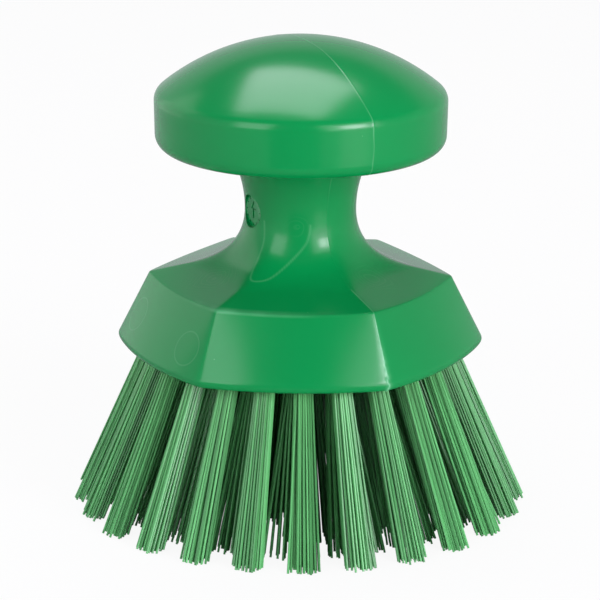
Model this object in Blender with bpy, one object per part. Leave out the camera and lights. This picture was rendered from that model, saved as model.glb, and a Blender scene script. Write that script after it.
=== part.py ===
"""Round scrub brush with a palm knob.

The block is one plastic moulding: a domed knob for the palm, a waisted neck for the fingers and a
six-sided head. Fifty-nine tufts of bristle are folded over wire anchors and sit in blind holes that are
drilled into the underside of the head, splayed so that the brush sweeps a wider ring than its head.

Units are metres and +Z is up. The origin is on the brush's axis, in the plane of the bristle tips, which
the brush stands on. A corner of the head points along +X, and a face of it looks along -Y.
"""

import math

import bmesh
import bpy
from mathutils import Matrix, Vector

MM = 0.001

# Heights, stacked from the bristle tips up
BRISTLE_HEIGHT = 38.7 * MM
HEAD_HEIGHT = 17.1 * MM
WAIST_ABOVE_HEAD = 16.5 * MM
KNOB_ABOVE_WAIST = 14.9 * MM
KNOB_BAND_HEIGHT = 13.1 * MM
KNOB_DOME_RISE = 13.0 * MM

# Knob
KNOB_RADIUS = 34.8 * MM
KNOB_DRAFT = 0.25 * MM
KNOB_RIM_ROUND = 3.4 * MM
KNOB_LOWER_ROUND = 3.5 * MM

# Neck
WAIST_RADIUS = 13.3 * MM
NECK_TOP_RADIUS = 17.7 * MM
NECK_TOP_FILLET = 2.0 * MM

# Six-sided head, measured to its corners
HEAD_UPPER_RADIUS = 36.3 * MM
HEAD_LOWER_RADIUS = 44.9 * MM
HEAD_UPPER_ROUND = 0.7 * MM
HEAD_LOWER_ROUND = 1.6 * MM
HEAD_CORNERS = 6
CORNER_SOFTNESS = math.radians(1.5)

# How far each side of the outline bows out: 0 is a straight side and 1 makes the outline a circle
UPPER_BULGE_SHARE = 0.3
LOWER_BULGE_SHARE = 0.55

# Shoulder: the ridges rise from the head's corners and sweep up into the neck
RIDGE_SLOPE = math.radians(13.0)
RIDGE_STRAIGHT = 9.3 * MM
NECK_SWEEP_SHARE = 0.63
RIDGE_SWEEP_SHARE = 0.545

# Tufts and their holes
TUFT_COUNTS = (25, 18, 11, 5)
TUFT_RING_NAMES = ("outer", "second", "third", "inner")
RING_FOOT_SHARES = (1.0, 0.765, 0.53, 0.28)
RING_TIP_SHARES = (1.0, 0.83, 0.62, 0.36)
RING_TURN_SHARES = (0.0, 0.5, 0.5, 0.5)
FACE_TO_OUTER_TUFTS = 2.3 * MM
BRISTLE_SPREAD_RADIUS = 55.0 * MM
HOLE_RADIUS = 2.6 * MM
HOLE_DEPTH = 9.5 * MM
HOLE_SIDES = 8
TUFT_CLEARANCE = 0.3 * MM
TUFT_MOUTH_RECESS = 1.1 * MM
FOLD_HEIGHT = 1.8 * MM
FOLD_RIDGE_SHARE = 0.55

# Strands: one in the middle of its tuft and the rest in a ring round it, which fans out to an oval
STRAND_RADIUS = 0.5 * MM
STRAND_SIDES = 3
STRANDS_ROUND = 7
STRAND_RING_FOOT = 1.4 * MM
STRAND_TIP_OUT = 2.0 * MM
STRAND_TIP_SIDE = 3.5 * MM

CUT_OVERRUN = 4.0 * MM

# Steps of the loft
COLUMN_SHARES = (0.0, 0.04, 0.13, 0.26, 0.42, 0.58, 0.74, 0.87, 0.96)
DOME_STEPS = 9
DOME_ARC_SHARE = 0.76
ROUND_STEPS = 4
EDGE_STEPS = 2
NECK_STEPS = 6
SHOULDER_STEPS = 9

BLOCK_GREEN = (0.002, 0.262, 0.057, 1.0)
BRISTLE_GREEN = (0.115, 0.42, 0.16, 1.0)

UNDERSIDE_Z = BRISTLE_HEIGHT
HEAD_TOP_Z = UNDERSIDE_Z + HEAD_HEIGHT
WAIST_Z = HEAD_TOP_Z + WAIST_ABOVE_HEAD
KNOB_BOTTOM_Z = WAIST_Z + KNOB_ABOVE_WAIST
KNOB_RIM_Z = KNOB_BOTTOM_Z + KNOB_BAND_HEIGHT
KNOB_TOP_Z = KNOB_RIM_Z + KNOB_DOME_RISE
SECTOR = math.tau / HEAD_CORNERS
HALF_SECTOR = SECTOR / 2


def clear_scene():
    for obj in list(bpy.data.objects):
        bpy.data.objects.remove(obj, do_unlink=True)


def plastic(name, colour, roughness):
    material = bpy.data.materials.new(name)
    material.use_nodes = True
    shader = material.node_tree.nodes["Principled BSDF"]
    shader.inputs["Base Color"].default_value = colour
    shader.inputs["Roughness"].default_value = roughness
    shader.inputs["Metallic"].default_value = 0.0
    return material


def mesh_from(bm, name, material):
    """Close a bmesh into a smooth mesh whose edges stay sharp where the surface turns quickly."""
    bmesh.ops.recalc_face_normals(bm, faces=bm.faces)
    mesh = bpy.data.meshes.new(name)
    bm.to_mesh(mesh)
    bm.free()
    mesh.materials.append(material)
    mesh.shade_smooth()
    mesh.set_sharp_from_angle(angle=math.radians(20))
    return mesh


def place(name, mesh):
    obj = bpy.data.objects.new(name, mesh)
    bpy.context.scene.collection.objects.link(obj)
    return obj


# Profiles of the block, as (radius, height) in the vertical plane at an angle from a corner

def rounded(before, corner, after, radius, steps):
    """Arc of the given radius that rounds a corner between the two lines that meet there."""
    back = (before - corner).normalized()
    ahead = (after - corner).normalized()
    half = back.angle(ahead) / 2
    reach = min(radius / math.tan(half), (before - corner).length, (after - corner).length)
    radius = reach * math.tan(half)
    centre = corner + (back + ahead).normalized() * (radius / math.sin(half))
    start = corner + back * reach - centre
    end = corner + ahead * reach - centre
    turn = start.angle_signed(end)
    return [centre + Matrix.Rotation(-turn * step / steps, 2) @ start for step in range(steps + 1)]


def knob_profile():
    """Dome, rim, band and underside of the knob, from below the pole to the foot of the fillet."""
    dome_radius = (KNOB_RADIUS ** 2 + KNOB_DOME_RISE ** 2) / (2 * KNOB_DOME_RISE)
    dome_angle = math.asin(KNOB_RADIUS / dome_radius)
    dome_centre = Vector((0, KNOB_TOP_Z - dome_radius))
    dome = []
    for step in range(1, DOME_STEPS + 1):
        angle = dome_angle * DOME_ARC_SHARE * step / DOME_STEPS
        dome.append(dome_centre + dome_radius * Vector((math.sin(angle), math.cos(angle))))
    rim = Vector((KNOB_RADIUS, KNOB_RIM_Z))
    band_foot = Vector((KNOB_RADIUS - KNOB_DRAFT, KNOB_BOTTOM_Z))
    neck_top = Vector((NECK_TOP_RADIUS, KNOB_BOTTOM_Z))
    upper = rounded(dome[-1], rim, band_foot, KNOB_RIM_ROUND, ROUND_STEPS)
    lower = rounded(rim, band_foot, neck_top, KNOB_LOWER_ROUND, ROUND_STEPS)
    return dome + upper + lower


def neck_profile():
    """Flare below the knob, then the waist: an arc whose lowest point is upright."""
    flare_run = NECK_TOP_RADIUS - WAIST_RADIUS
    flare_radius = (flare_run ** 2 + KNOB_ABOVE_WAIST ** 2) / (2 * flare_run)
    flare_angle = math.asin(KNOB_ABOVE_WAIST / flare_radius)
    flare = []
    for step in range(NECK_STEPS + 1):
        angle = flare_angle * (1 - step / NECK_STEPS)
        run = WAIST_RADIUS + flare_radius * (1 - math.cos(angle))
        flare.append(Vector((run, WAIST_Z + flare_radius * math.sin(angle))))
    under_knob = Vector((KNOB_RADIUS, KNOB_BOTTOM_Z))
    fillet = rounded(under_knob, flare[0], flare[1], NECK_TOP_FILLET, EDGE_STEPS)
    return fillet + flare[1:]


def outline_radius(corner_radius, bulge, from_corner):
    """Radius of a six-sided outline with bowed sides, at an angle from one of its soft corners."""
    softened = math.hypot(from_corner, CORNER_SOFTNESS) - CORNER_SOFTNESS
    widest = math.hypot(HALF_SECTOR, CORNER_SOFTNESS) - CORNER_SOFTNESS
    from_face = HALF_SECTOR * (1 - softened / widest)
    straight = math.cos(HALF_SECTOR) / math.cos(from_face)
    return corner_radius * (straight + (1 - straight) * bulge)


def facet_climb(from_corner):
    """Rise of a shoulder facet for each unit of run towards the axis."""
    return math.tan(RIDGE_SLOPE) * math.cos(HALF_SECTOR - from_corner) / math.cos(HALF_SECTOR)


def upper_edge(from_corner):
    """The bowed sides meet the flat facets a little lower than the corners do."""
    radius = outline_radius(HEAD_UPPER_RADIUS, UPPER_BULGE_SHARE, from_corner)
    straight = outline_radius(HEAD_UPPER_RADIUS, 0, from_corner)
    return Vector((radius, HEAD_TOP_Z - (radius - straight) * facet_climb(from_corner)))


def facet_end(from_corner):
    """Where a flat facet starts to sweep up into the neck: a level line across it."""
    corner_radius = HEAD_UPPER_RADIUS - RIDGE_STRAIGHT * math.cos(RIDGE_SLOPE)
    radius = outline_radius(corner_radius, 0, from_corner)
    return Vector((radius, HEAD_TOP_Z + RIDGE_STRAIGHT * math.sin(RIDGE_SLOPE)))


def shoulder_profile(from_corner):
    """Sweep from the waist down to a flat facet, or at a corner to the ridge between two facets."""
    waist = Vector((WAIST_RADIUS, WAIST_Z))
    foot = facet_end(from_corner)
    inward = Vector((-1, facet_climb(from_corner)))
    upper_handle = waist - Vector((0, (waist.y - foot.y) * NECK_SWEEP_SHARE))
    lower_handle = foot + inward * ((foot.x - waist.x) * RIDGE_SWEEP_SHARE)
    sweep = []
    for step in range(1, SHOULDER_STEPS + 1):
        t = step / SHOULDER_STEPS
        sweep.append(
            waist * (1 - t) ** 3
            + upper_handle * (3 * t * (1 - t) ** 2)
            + lower_handle * (3 * t ** 2 * (1 - t))
            + foot * t ** 3
        )
    return sweep


def head_profile(from_corner):
    """Upper edge, drafted side and rounded lower edge of the head."""
    upper_corner = upper_edge(from_corner)
    lower_corner = Vector((outline_radius(HEAD_LOWER_RADIUS, LOWER_BULGE_SHARE, from_corner), UNDERSIDE_Z))
    axis_foot = Vector((0, UNDERSIDE_Z))
    upper = rounded(facet_end(from_corner), upper_corner, lower_corner, HEAD_UPPER_ROUND, EDGE_STEPS)
    lower = rounded(upper_corner, lower_corner, axis_foot, HEAD_LOWER_ROUND, ROUND_STEPS)
    return upper + lower


def block_sections():
    """Sections of the block from top to bottom, each a ring of points.

    Their columns spread evenly round the knob and the neck, and crowd at the corners of the head.
    """
    turned = knob_profile() + neck_profile()
    sections = []
    crowding = [0.0] * len(turned)
    crowding += [step / SHOULDER_STEPS for step in range(1, SHOULDER_STEPS + 1)]
    crowding += [1.0] * len(head_profile(0))
    for level, crowd in enumerate(crowding):
        points = []
        for corner in range(HEAD_CORNERS):
            for column, share in enumerate(COLUMN_SHARES):
                even = column / len(COLUMN_SHARES)
                angle = SECTOR * (even + (share - even) * crowd)
                from_corner = min(angle, SECTOR - angle)
                profile = turned + shoulder_profile(from_corner) + head_profile(from_corner)
                radius, height = profile[level]
                azimuth = corner * SECTOR + angle
                points.append((radius * math.cos(azimuth), radius * math.sin(azimuth), height))
        sections.append(points)
    return sections


def make_block(material):
    """Loft the moulding through its sections and close it with the pole and the flat underside."""
    bm = bmesh.new()
    rings = [[bm.verts.new(point) for point in section] for section in block_sections()]
    pole = bm.verts.new((0, 0, KNOB_TOP_Z))
    columns = len(rings[0])
    for column in range(columns):
        beside = (column + 1) % columns
        bm.faces.new((pole, rings[0][column], rings[0][beside]))
        for above, below in zip(rings, rings[1:]):
            bm.faces.new((above[column], below[column], below[beside], above[beside]))
    bm.faces.new(list(reversed(rings[-1])))
    return place("brush_block", mesh_from(bm, "brush_block", material))


# Tufts: each ring has one mesh, modelled from the mouth of the hole that stands on +X

def foot_radius(ring):
    """Radius of a ring of hole mouths, measured in from the middle of the head's drafted faces.

    The holes lean as the faces do, so both of a face's edges set where the outer ring stands.
    """
    lower_radius = outline_radius(HEAD_LOWER_RADIUS, LOWER_BULGE_SHARE, HALF_SECTOR)
    upper_radius = outline_radius(HEAD_UPPER_RADIUS, UPPER_BULGE_SHARE, HALF_SECTOR)
    return ((lower_radius + upper_radius) / 2 - FACE_TO_OUTER_TUFTS) * RING_FOOT_SHARES[ring]


def tip_radius(ring):
    """Radius of a ring of tuft tips, which leaves the outer strands inside the spread."""
    reach = STRAND_TIP_OUT + STRAND_RADIUS
    lean = math.atan2(BRISTLE_SPREAD_RADIUS - reach - foot_radius(0), BRISTLE_HEIGHT)
    return (BRISTLE_SPREAD_RADIUS - reach / math.cos(lean)) * RING_TIP_SHARES[ring]


def tuft_axes(ring):
    """Tip of a tuft's centre line, its direction, and the two directions square to it."""
    tip = Vector((tip_radius(ring) - foot_radius(ring), 0, -BRISTLE_HEIGHT))
    along = tip.normalized()
    side = Vector((0, 1, 0))
    out = side.cross(along)
    if out.x < 0:
        out.negate()
    return tip, along, out, side


def circle_points(centre, radius, out, side, count, turn_share=0.0):
    points = []
    for index in range(count):
        angle = math.tau * (index + turn_share) / count
        points.append(centre + radius * (out * math.cos(angle) + side * math.sin(angle)))
    return points


def hole_rings(ring, radius, near, far):
    """Two rings of points round a tuft's centre line, at two distances from the hole's mouth."""
    _, along, out, side = tuft_axes(ring)
    return [circle_points(along * reach, radius, out, side, HOLE_SIDES, 0.5) for reach in (near, far)]


def add_walls(bm, upper, lower):
    count = len(upper)
    for index in range(count):
        beside = (index + 1) % count
        bm.faces.new((upper[index], lower[index], lower[beside], upper[beside]))


def ring_places(ring):
    """Where each tuft of a ring stands, as a matrix from its hole's mouth to the brush."""
    count = TUFT_COUNTS[ring]
    for index in range(count):
        turn = Matrix.Rotation(math.tau * (index + RING_TURN_SHARES[ring]) / count, 4, "Z")
        yield turn @ Matrix.Translation((foot_radius(ring), 0, UNDERSIDE_Z))


def cut_holes(block):
    """One cutter holds every hole, each a blind bore along its tuft."""
    bm = bmesh.new()
    for ring in range(len(TUFT_COUNTS)):
        outside, bottom = hole_rings(ring, HOLE_RADIUS, CUT_OVERRUN, -HOLE_DEPTH)
        for matrix in ring_places(ring):
            lower = [bm.verts.new(matrix @ point) for point in outside]
            upper = [bm.verts.new(matrix @ point) for point in bottom]
            add_walls(bm, upper, lower)
            bm.faces.new(list(reversed(upper)))
            bm.faces.new(lower)
    bmesh.ops.recalc_face_normals(bm, faces=bm.faces)
    mesh = bpy.data.meshes.new("hole_cutter")
    bm.to_mesh(mesh)
    bm.free()
    cutter = place("hole_cutter", mesh)
    cutter.hide_render = True
    cutter.display_type = "WIRE"
    cut = block.modifiers.new("tuft holes", "BOOLEAN")
    cut.operation = "DIFFERENCE"
    cut.solver = "EXACT"
    cut.object = cutter


def add_fold(bm, rim, ring):
    """The folded end of a tuft: a blunt ridge across it, where the fibres turn over the wire anchor."""
    _, along, _, side = tuft_axes(ring)
    end = along * (TUFT_CLEARANCE - HOLE_DEPTH)
    half_ridge = side * (HOLE_RADIUS - TUFT_CLEARANCE) * FOLD_RIDGE_SHARE
    ridge = [bm.verts.new(end + half_ridge), bm.verts.new(end - half_ridge)]
    half = len(rim) // 2
    for part, peak in enumerate(ridge):
        for index in range(part * half, part * half + half - 1):
            bm.faces.new((rim[index], rim[index + 1], peak))
    bm.faces.new((rim[half - 1], rim[half], ridge[1], ridge[0]))
    bm.faces.new((rim[-1], rim[0], ridge[0], ridge[1]))


def strand_feet(ring):
    """Centre of each strand in the hole's mouth and where it aims: one in the middle and a ring.

    The filaments fold over the anchor both ways, so a tuft's tips spread wider along its ring.
    """
    tip, along, out, side = tuft_axes(ring)
    mouth = along * -TUFT_MOUTH_RECESS
    feet = circle_points(mouth, STRAND_RING_FOOT, out, side, STRANDS_ROUND)
    flat_out = out * (STRAND_TIP_OUT / STRAND_TIP_SIDE)
    aims = circle_points(tip, STRAND_TIP_SIDE, flat_out, side, STRANDS_ROUND)
    turns = [index / STRANDS_ROUND for index in range(STRANDS_ROUND)]
    return list(zip(feet + [mouth], aims + [tip], turns + [0.0]))


def make_tuft_mesh(ring, material):
    """A plug that fills the hole, folded at its inner end, with strands drawn out of its mouth.

    The strands fan out from the mouth and are cut off level, in the plane that the brush stands on.
    """
    _, _, out, side = tuft_axes(ring)
    bm = bmesh.new()
    plug_radius = HOLE_RADIUS - TUFT_CLEARANCE
    fold_start = TUFT_CLEARANCE + FOLD_HEIGHT - HOLE_DEPTH
    inner, mouth = hole_rings(ring, plug_radius, fold_start, -TUFT_MOUTH_RECESS)
    inner = [bm.verts.new(point) for point in inner]
    mouth = [bm.verts.new(point) for point in mouth]
    add_walls(bm, inner, mouth)
    add_fold(bm, inner, ring)
    mouth_edges = [bm.edges.get((mouth[index - 1], mouth[index])) for index in range(HOLE_SIDES)]
    for foot, aim, turn in strand_feet(ring):
        run = (aim - foot).normalized()
        corners = circle_points(foot, STRAND_RADIUS, out, side, STRAND_SIDES, turn * STRAND_SIDES)
        cut = [corner + run * ((-BRISTLE_HEIGHT - corner.z) / run.z) for corner in corners]
        upper = [bm.verts.new(point) for point in corners]
        lower = [bm.verts.new(point) for point in cut]
        add_walls(bm, upper, lower)
        bm.faces.new(lower)
        mouth_edges += [bm.edges.get((upper[index - 1], upper[index])) for index in range(STRAND_SIDES)]
    bmesh.ops.triangle_fill(bm, use_beauty=True, edges=mouth_edges)
    return mesh_from(bm, "tuft_" + TUFT_RING_NAMES[ring], material)


def make_tufts(material):
    for ring, ring_name in enumerate(TUFT_RING_NAMES):
        mesh = make_tuft_mesh(ring, material)
        for index, matrix in enumerate(ring_places(ring)):
            tuft = place(f"tuft_{ring_name}_{index + 1:02d}", mesh)
            tuft.matrix_world = matrix


def main():
    clear_scene()
    block = make_block(plastic("block_green", BLOCK_GREEN, 0.28))
    cut_holes(block)
    make_tufts(plastic("bristle_green", BRISTLE_GREEN, 0.45))


main()
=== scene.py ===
"""Round scrub brush: a palm knob on a six-sided head, with splayed tufts of single filaments.

The block is one satin plastic moulding with a parting line, a date dial and a faint flow line. Each
tuft is a bundle of filaments folded in half in the bottom of its hole, so that both ends leave it.

Units are metres. The brush stands on its bristle tips at the origin, and its front looks along -Y.
"""

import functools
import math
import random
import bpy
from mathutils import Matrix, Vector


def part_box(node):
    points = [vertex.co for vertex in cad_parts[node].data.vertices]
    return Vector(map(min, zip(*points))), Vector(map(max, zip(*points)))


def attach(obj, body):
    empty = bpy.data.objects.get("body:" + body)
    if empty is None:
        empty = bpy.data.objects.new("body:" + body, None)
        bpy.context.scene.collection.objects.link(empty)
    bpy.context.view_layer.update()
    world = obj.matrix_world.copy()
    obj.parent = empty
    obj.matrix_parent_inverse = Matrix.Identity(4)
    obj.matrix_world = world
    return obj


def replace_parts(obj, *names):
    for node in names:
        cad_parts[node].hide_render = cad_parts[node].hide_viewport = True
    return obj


bl_info = {
    "name": "Round Scrub Brush",
    "version": (1, 0, 0),
    "blender": (4, 5, 0),
    "location": "3D View > Sidebar > Scrub Brush",
    "description": "Moulds a scrub brush block, sets its tufts and lights it on a pale stage",
    "category": "Object",
}

import bmesh
import bpy
from bpy.props import FloatProperty, FloatVectorProperty, IntProperty, PointerProperty
from mathutils import Matrix, Vector, kdtree, noise
from mathutils.bvhtree import BVHTree
from mathutils.geometry import delaunay_2d_cdt

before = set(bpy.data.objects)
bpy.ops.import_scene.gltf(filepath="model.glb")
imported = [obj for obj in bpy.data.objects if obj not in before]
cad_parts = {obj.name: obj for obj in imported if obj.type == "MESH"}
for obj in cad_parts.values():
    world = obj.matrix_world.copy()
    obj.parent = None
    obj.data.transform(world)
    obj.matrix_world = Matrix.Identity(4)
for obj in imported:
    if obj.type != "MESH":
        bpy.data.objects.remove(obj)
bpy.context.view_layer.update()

MM = 0.001

# The frame gives the block's two ends, and the names of the tufts that the filaments replace
block_low, block_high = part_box("brush_block")
UNDERSIDE_Z = block_low.z
KNOB_TOP_Z = block_high.z
BODY = "root"
TUFT_RING_NAMES = ("outer", "second", "third", "inner")
TUFT_NODES = [
    sorted(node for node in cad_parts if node.startswith(f"tuft_{ring}_"))
    for ring in TUFT_RING_NAMES
]

HEAD_CORNERS = 6
SECTOR = math.tau / HEAD_CORNERS
HALF_SECTOR = SECTOR / 2

# Steps of the block's loft
COLUMNS_PER_SECTOR = 54
CORNER_CROWDING = 0.72
DOME_STEPS = 42
ROUND_STEPS = 10
BAND_STEPS = 6
OVERHANG_STEPS = 8
FILLET_STEPS = 4
NECK_STEPS = 44
SHOULDER_STEPS = 100
FACET_STEPS = 6
EDGE_STEPS = 5
SIDE_STEPS = 32
HOLE_SIDES = 24
LEAST_LEVEL_STEP = 0.1 * MM

# Faces that meet at a smaller angle are shaded as one
SHARP_ANGLE = math.radians(38)

WHITE = (1, 1, 1, 1)
BLACK = (0, 0, 0, 1)


def length(label, description, millimetres):
    return FloatProperty(
        name=label, description=description, default=millimetres * MM, min=0.0, precision=5,
        subtype="DISTANCE", unit="LENGTH",
    )


def share(label, description, value):
    return FloatProperty(
        name=label, description=description, default=value, min=0.0, max=1.0, subtype="FACTOR",
    )


def angle(label, description, degrees):
    return FloatProperty(
        name=label, description=description, default=math.radians(degrees), subtype="ANGLE",
    )


def colour(label, description, rgb):
    return FloatVectorProperty(
        name=label, description=description, default=rgb, min=0.0, max=1.0, subtype="COLOR",
    )


class SCRUBBRUSH_PG_block(bpy.types.PropertyGroup):
    """Sizes and finish of the moulded block"""

    knob_radius: length("Knob radius", "Radius of the palm knob at its rim", 34.8)
    knob_draft: length("Knob draft", "How much the knob's band narrows downwards", 0.25)
    knob_rim_round: length("Rim round", "Rounding between the dome and the band", 3.4)
    knob_lower_round: length("Lower round", "Rounding between the band and the underside", 3.5)
    knob_band: length("Knob band", "Height of the upright band round the knob", 13.1)
    knob_above_waist: length("Knob above waist", "From the waist up to the knob", 14.9)
    waist_above_head: length("Waist above head", "From the head's corners up to the waist", 16.5)
    waist_radius: length("Waist radius", "Radius of the neck where it is thinnest", 13.3)
    neck_top_radius: length("Neck top radius", "Radius of the neck where it meets the knob", 17.7)
    neck_top_fillet: length("Neck top fillet", "Fillet between the neck and the knob", 2.0)
    head_height: length("Head height", "From the underside up to the head's corners", 17.1)
    head_upper_radius: length("Head upper radius", "Axis to the head's upper corners", 36.3)
    head_lower_radius: length("Head lower radius", "Axis to the head's lower corners", 44.9)
    head_upper_round: length("Upper edge round", "Rounding of the head's upper edge", 0.7)
    head_lower_round: length("Lower edge round", "Rounding of the head's lower edge", 1.6)
    upper_bulge: share("Upper bulge", "Bow of the upper outline's sides: 1 is a circle", 0.36)
    lower_bulge: share("Lower bulge", "Bow of the lower outline's sides: 1 is a circle", 0.62)
    corner_softness: angle("Corner softness", "Turn over which each corner is softened", 0.9)
    side_softness: angle("Side softness", "Further softening of the corners at the foot", 1.5)
    ridge_fade: angle("Ridge fade", "Further softening of the ridges at the waist", 16.0)
    ridge_slope: angle("Ridge slope", "Slope of the ridges that rise from the corners", 13.0)
    ridge_straight: length("Straight ridge", "Ridge before it sweeps up into the neck", 9.3)
    neck_sweep: share("Neck sweep", "How firmly the sweep follows the neck", 0.63)
    ridge_sweep: share("Ridge sweep", "How firmly the sweep follows the ridge", 0.545)
    bead_height: length("Parting bead", "Height of the bead along the mould's parting line", 0.045)
    bead_width: length("Bead width", "Half width of that bead", 0.14)
    flash_height: length("Flash height", "Height of the flash at the bead's ragged foot", 0.3)
    flash_stray: length("Flash stray", "How far the flash strays to either side", 0.45)
    flash_grain: length("Flash grain", "Length of one tear in the flash", 1.1)
    # Reach of the painted highlight beside the flash, which is painted as a paler colour
    highlight_halo_reach: length("Flash halo", "How far the plastic beside the flash is paler", 0.8)
    drift: length("Line drift", "How far the parting line strays on the knob's band", 0.9)
    drift_length: length("Drift length", "Length of one sway of the line", 6.0)
    drift_reach: angle("Drift reach", "Turn over which the skin follows the line", 7.0)
    # The upper edge's paleness, its place and its reach paint a highlight along the front of that
    # edge
    wear: share("Edge wear", "Paleness of the head's upper edge where it is worn most", 0.4)
    edge_highlight_azimuth: angle("Wear azimuth", "Where the edge is worn most, from +X", 252.0)
    edge_highlight_reach: angle("Wear reach", "Turn over which the wear fades", 22.0)
    dial_radius: length("Dial radius", "Radius of the date dial pressed into the neck", 4.0)
    dial_depth: length("Dial depth", "Depth of its floor below the waist", 0.75)
    dial_azimuth: angle("Dial azimuth", "Where the dial stands round the neck, from +X", 210.0)
    dial_lift: length("Dial lift", "Height of the dial's centre above the waist", 0.6)
    plastic: colour("Plastic", "Colour of the block's plastic", (0.0015, 0.256, 0.061))
    # Paler colour of the flow line and flash, which also paints highlights along the parting line
    # and the head's upper edge
    whitened_and_highlit: colour("Stressed plastic", "Paler plastic of flow lines and flash", (0.16, 0.5, 0.26))
    roughness: share("Roughness", "Roughness of the satin moulded skin", 0.21)


class SCRUBBRUSH_PG_tufts(bpy.types.PropertyGroup):
    """Layout, sizes and finish of the tufts"""

    hole_radius: length("Hole radius", "Radius of the holes in the underside", 2.6)
    hole_depth: length("Hole depth", "Depth of each blind hole along its tuft", 9.5)
    hole_chamfer: length("Hole chamfer", "Chamfer round the mouth of each hole", 0.12)
    face_to_outer: length("Face to outer tufts", "Middle of a head face to the outer holes", 2.657)
    spread_radius: length("Spread radius", "Radius that the bristle tips reach", 55.0)
    clearance: length("Clearance", "Room between a tuft and its hole", 0.1)
    filament_radius: length("Filament radius", "Radius of one filament", 0.27)
    filament_pitch: length("Filament pitch", "Distance between filaments in the hole", 0.56)
    tip_inset: length("Tip inset", "From the spread in to the middle of an outer tuft's tips", 2.5)
    tip_out: length("Tips outward", "Half width of a tuft at its tips, away from the axis", 2.4)
    tip_side: length("Tips sideways", "Half width of a tuft at its tips, along its ring", 3.75)
    tip_stray: length("Tip stray", "How far a filament's tip wanders from its place", 0.16)
    loose_share: share("Loose share", "Share of the filaments that stray from their tuft", 0.03)
    loose_stray: length("Loose stray", "How far those filaments' tips wander", 2.6)
    bow: length("Bow", "How far a filament bends off a straight line", 0.07)
    trim: length("Trim", "Mean height at which the tips are trimmed", 0.2)
    trim_spread: length("Trim spread", "Spread of the trimmed heights", 0.3)
    seed: IntProperty(name="Seed", description="Start of the random draws", default=7, min=0)
    fibre: colour("Fibre", "Colour of the filaments", (0.09, 0.38, 0.115))
    roughness: share("Roughness", "Roughness of the filaments", 0.3)


class SCRUBBRUSH_PG_stage(bpy.types.PropertyGroup):
    """Camera, lamps and floor"""

    camera_azimuth: angle("Camera azimuth", "Turn of the camera from the front towards +X", 2.17)
    camera_distance: length("Camera distance", "Level distance from the brush to the camera", 679.5)
    camera_height: length("Camera height", "Height of the camera above the floor", 252.7)
    camera_roll: angle("Camera roll", "Tilt of the camera about its line of sight", 0.29)
    aim_height: length("Aim height", "Height on the brush's axis that the camera looks at", 49.1)
    lens: FloatProperty(
        name="Lens", description="Focal length on a 36 mm sensor", default=176.6, unit="CAMERA",
    )
    lamp_distance: length("Lamp distance", "Distance of the soft lamps from the brush", 1200.0)
    lamp_colour: colour("Lamp colour", "Colour of the lamps and the room", (0.94, 0.93, 1.0))
    room_glow: share("Room glow", "Brightness of the pale room below the lamps", 0.56)
    floor_glow: share("Floor glow", "Brightness near the brush of the floor in reflections", 0.42)
    floor_reach: length("Floor reach", "How far out the floor turns as bright as the room", 600.0)
    room_lean: FloatVectorProperty(
        name="Room lean", description="How the room brightens towards +X, +Y and +Z",
        default=(-0.08, 0.13, -0.4), min=-1.0, max=1.0,
    )
    ceiling_glow: share("Ceiling glow", "Brightness of the room above the lamps", 0.1)
    fade_start: angle("Fade start", "Elevation where the room starts to fade to its ceiling", 29.0)
    fade_end: angle("Fade end", "Elevation where the room is as dim as its ceiling", 38.0)
    floor: colour("Floor", "Colour of the floor", (0.8, 0.8, 0.8))
    floor_whiteness: share("Floor whiteness", "Share of the floor that looks plain white", 0.92)
    floor_width: length("Floor width", "Length of the floor's sides", 6000.0)
    floor_gap: length("Floor gap", "Room between the floor and the lowest tips", 0.05)


def around(radius, azimuth, height=0.0):
    """Point at a radius and a height, turned about the brush's axis from +X."""
    return Vector((radius * math.cos(azimuth), radius * math.sin(azimuth), height))


def corner_turn(azimuth):
    """Turn from the nearest corner of the head."""
    past_corner = azimuth % SECTOR
    return min(past_corner, SECTOR - past_corner)


def put_in_scene(name, data):
    """New object for a mesh, a lamp or a camera."""
    item = bpy.data.objects.new(name, data)
    bpy.context.scene.collection.objects.link(item)
    return item


# Profiles of the block, as (radius, height) in the vertical plane at an angle from a corner

def head_top_z(form):
    return UNDERSIDE_Z + form.head_height


def waist_z(form):
    return head_top_z(form) + form.waist_above_head


def knob_bottom_z(form):
    return waist_z(form) + form.knob_above_waist


def knob_rim_z(form):
    return knob_bottom_z(form) + form.knob_band


def between(start, end, steps):
    """Points between two others, without either end."""
    return [start.lerp(end, step / steps) for step in range(1, steps)]


def rounded(before, corner, after, radius, steps):
    """Arc of the given radius that rounds a corner between the two lines that meet there."""
    back = (before - corner).normalized()
    ahead = (after - corner).normalized()
    half = back.angle(ahead) / 2
    reach = min(radius / math.tan(half), (before - corner).length, (after - corner).length)
    radius = reach * math.tan(half)
    centre = corner + (back + ahead).normalized() * (radius / math.sin(half))
    start = corner + back * reach - centre
    end = corner + ahead * reach - centre
    turn = start.angle_signed(end)
    return [centre + Matrix.Rotation(-turn * step / steps, 2) @ start for step in range(steps + 1)]


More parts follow.
